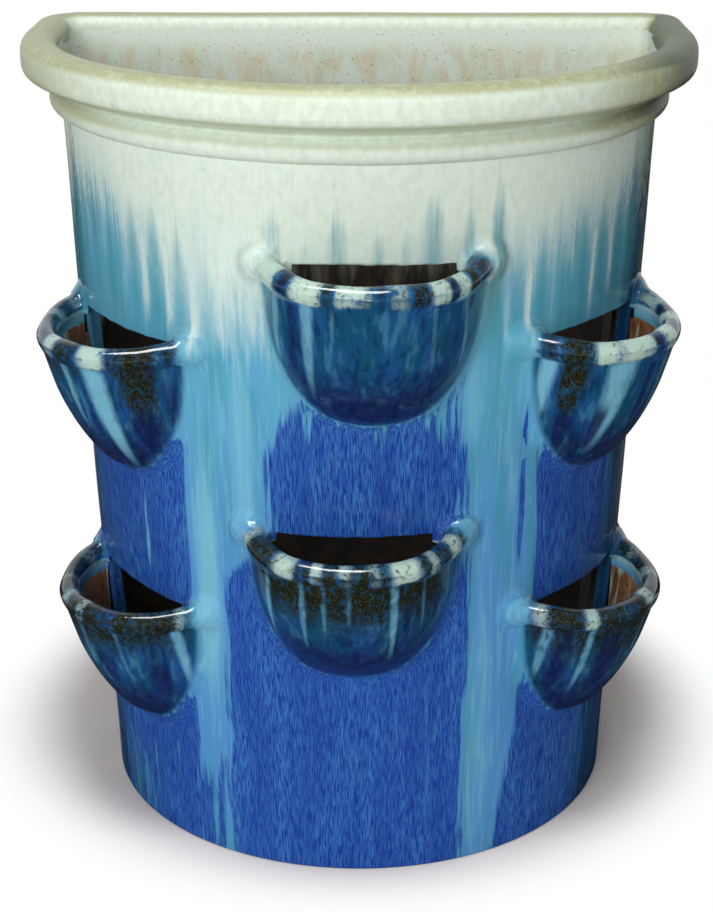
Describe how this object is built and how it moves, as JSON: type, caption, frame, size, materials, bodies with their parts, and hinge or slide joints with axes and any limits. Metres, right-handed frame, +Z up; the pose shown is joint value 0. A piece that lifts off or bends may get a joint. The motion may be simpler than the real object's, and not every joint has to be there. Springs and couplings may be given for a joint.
{
  "type": "pocket planter",
  "caption": "Half-round glazed stoneware planter with a flat back, a rolled rim and bead, and bowl pockets open to the pot behind.",
  "frame": {"origin": "on the underside, on the axis of the rounded front", "axes": "+Z up, +Y towards the flat back, -Y towards the rounded front, +X to the right of a viewer who faces the front"},
  "size_m": [0.56, 0.4016, 0.673],
  "materials": {
    "running_glaze": "glossy running glaze, cream over turquoise over cobalt",
    "cream_glaze": "glossy sage-cream glaze",
    "bowl_glaze": "glossy navy and teal glaze with pale runs",
    "lip_glaze": "glossy mottled cream, olive and navy glaze",
    "back_glaze": "thin uneven glaze over clay",
    "bare_clay": "fired brown stoneware, matt"
  },
  "bodies": {
    "root": {"front_wall": "running_glaze", "back_wall": "back_glaze", "floor_slab": "bare_clay", "neck": "cream_glaze", "bead": "cream_glaze", "rim": "cream_glaze", "bowl_upper_centre": "bowl_glaze", "lip_upper_centre": "lip_glaze", "bowl_lower_centre": "bowl_glaze", "lip_lower_centre": "lip_glaze", "bowl_upper_left": "bowl_glaze", "lip_upper_left": "lip_glaze", "bowl_upper_right": "bowl_glaze", "lip_upper_right": "lip_glaze", "bowl_lower_left": "bowl_glaze", "lip_lower_left": "lip_glaze", "bowl_lower_right": "bowl_glaze", "lip_lower_right": "lip_glaze"}
  },
  "joints": []
}
